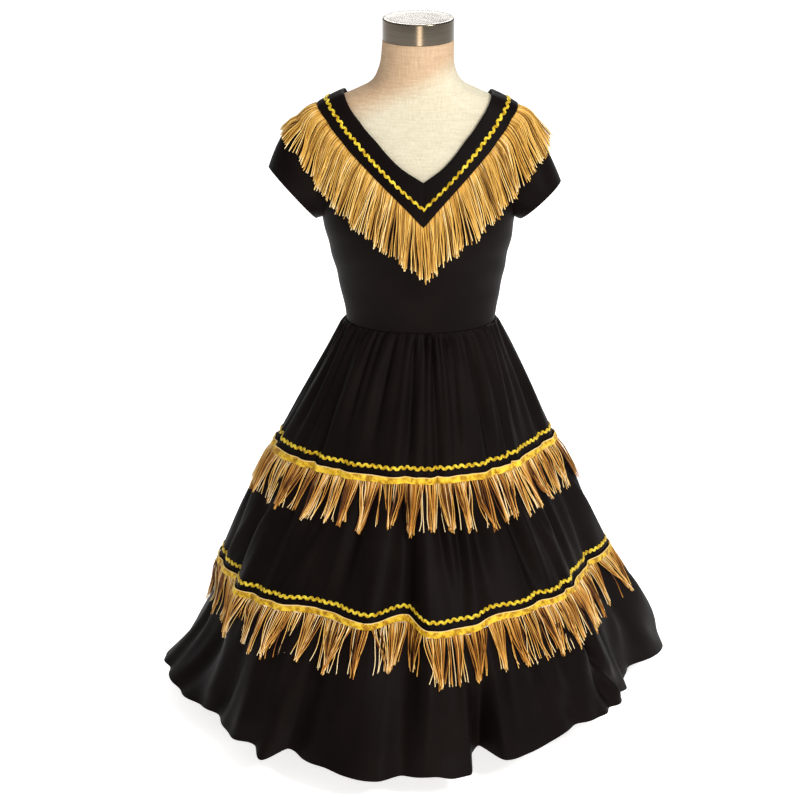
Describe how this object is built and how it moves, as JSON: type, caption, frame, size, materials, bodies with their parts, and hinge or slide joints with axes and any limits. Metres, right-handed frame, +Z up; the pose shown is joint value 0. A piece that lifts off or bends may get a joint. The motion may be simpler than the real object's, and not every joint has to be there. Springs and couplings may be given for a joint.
{
  "type": "fringed western dress on a dress form",
  "caption": "Black tiered western dress with a V neckband, gold ric-rac and golden fringe at the neck and two skirt seams, worn by a limbless dress form on a low stand.",
  "frame": {"origin": "centre of the stand's round base, on its underside", "axes": "+Z up, front of the dress towards -Y, a viewer's right towards +X"},
  "size_m": [0.8743, 0.8571, 1.183],
  "materials": {
    "cloth": "matt black crepe",
    "tape": "metallic gold braid",
    "fringe": "satin golden yarn",
    "linen": "cream linen cover",
    "steel": "brushed",
    "paint": "satin black"
  },
  "bodies": {
    "root": {"bodice_front": "cloth", "bodice_back": "cloth", "sleeve_left": "cloth", "sleeve_right": "cloth", "neckband_front": "cloth", "neckband_back": "cloth", "skirt_tier_1": "cloth", "skirt_tier_2": "cloth", "skirt_tier_3": "cloth", "neck_ricrac": "tape", "row_1_ricrac": "tape", "row_2_ricrac": "tape", "neck_fringe": "fringe", "row_1_fringe": "fringe", "row_2_fringe": "fringe", "form_body": "linen", "neck_cap": "steel", "stand_pole": "steel", "stand_base": "paint"}
  },
  "joints": []
}
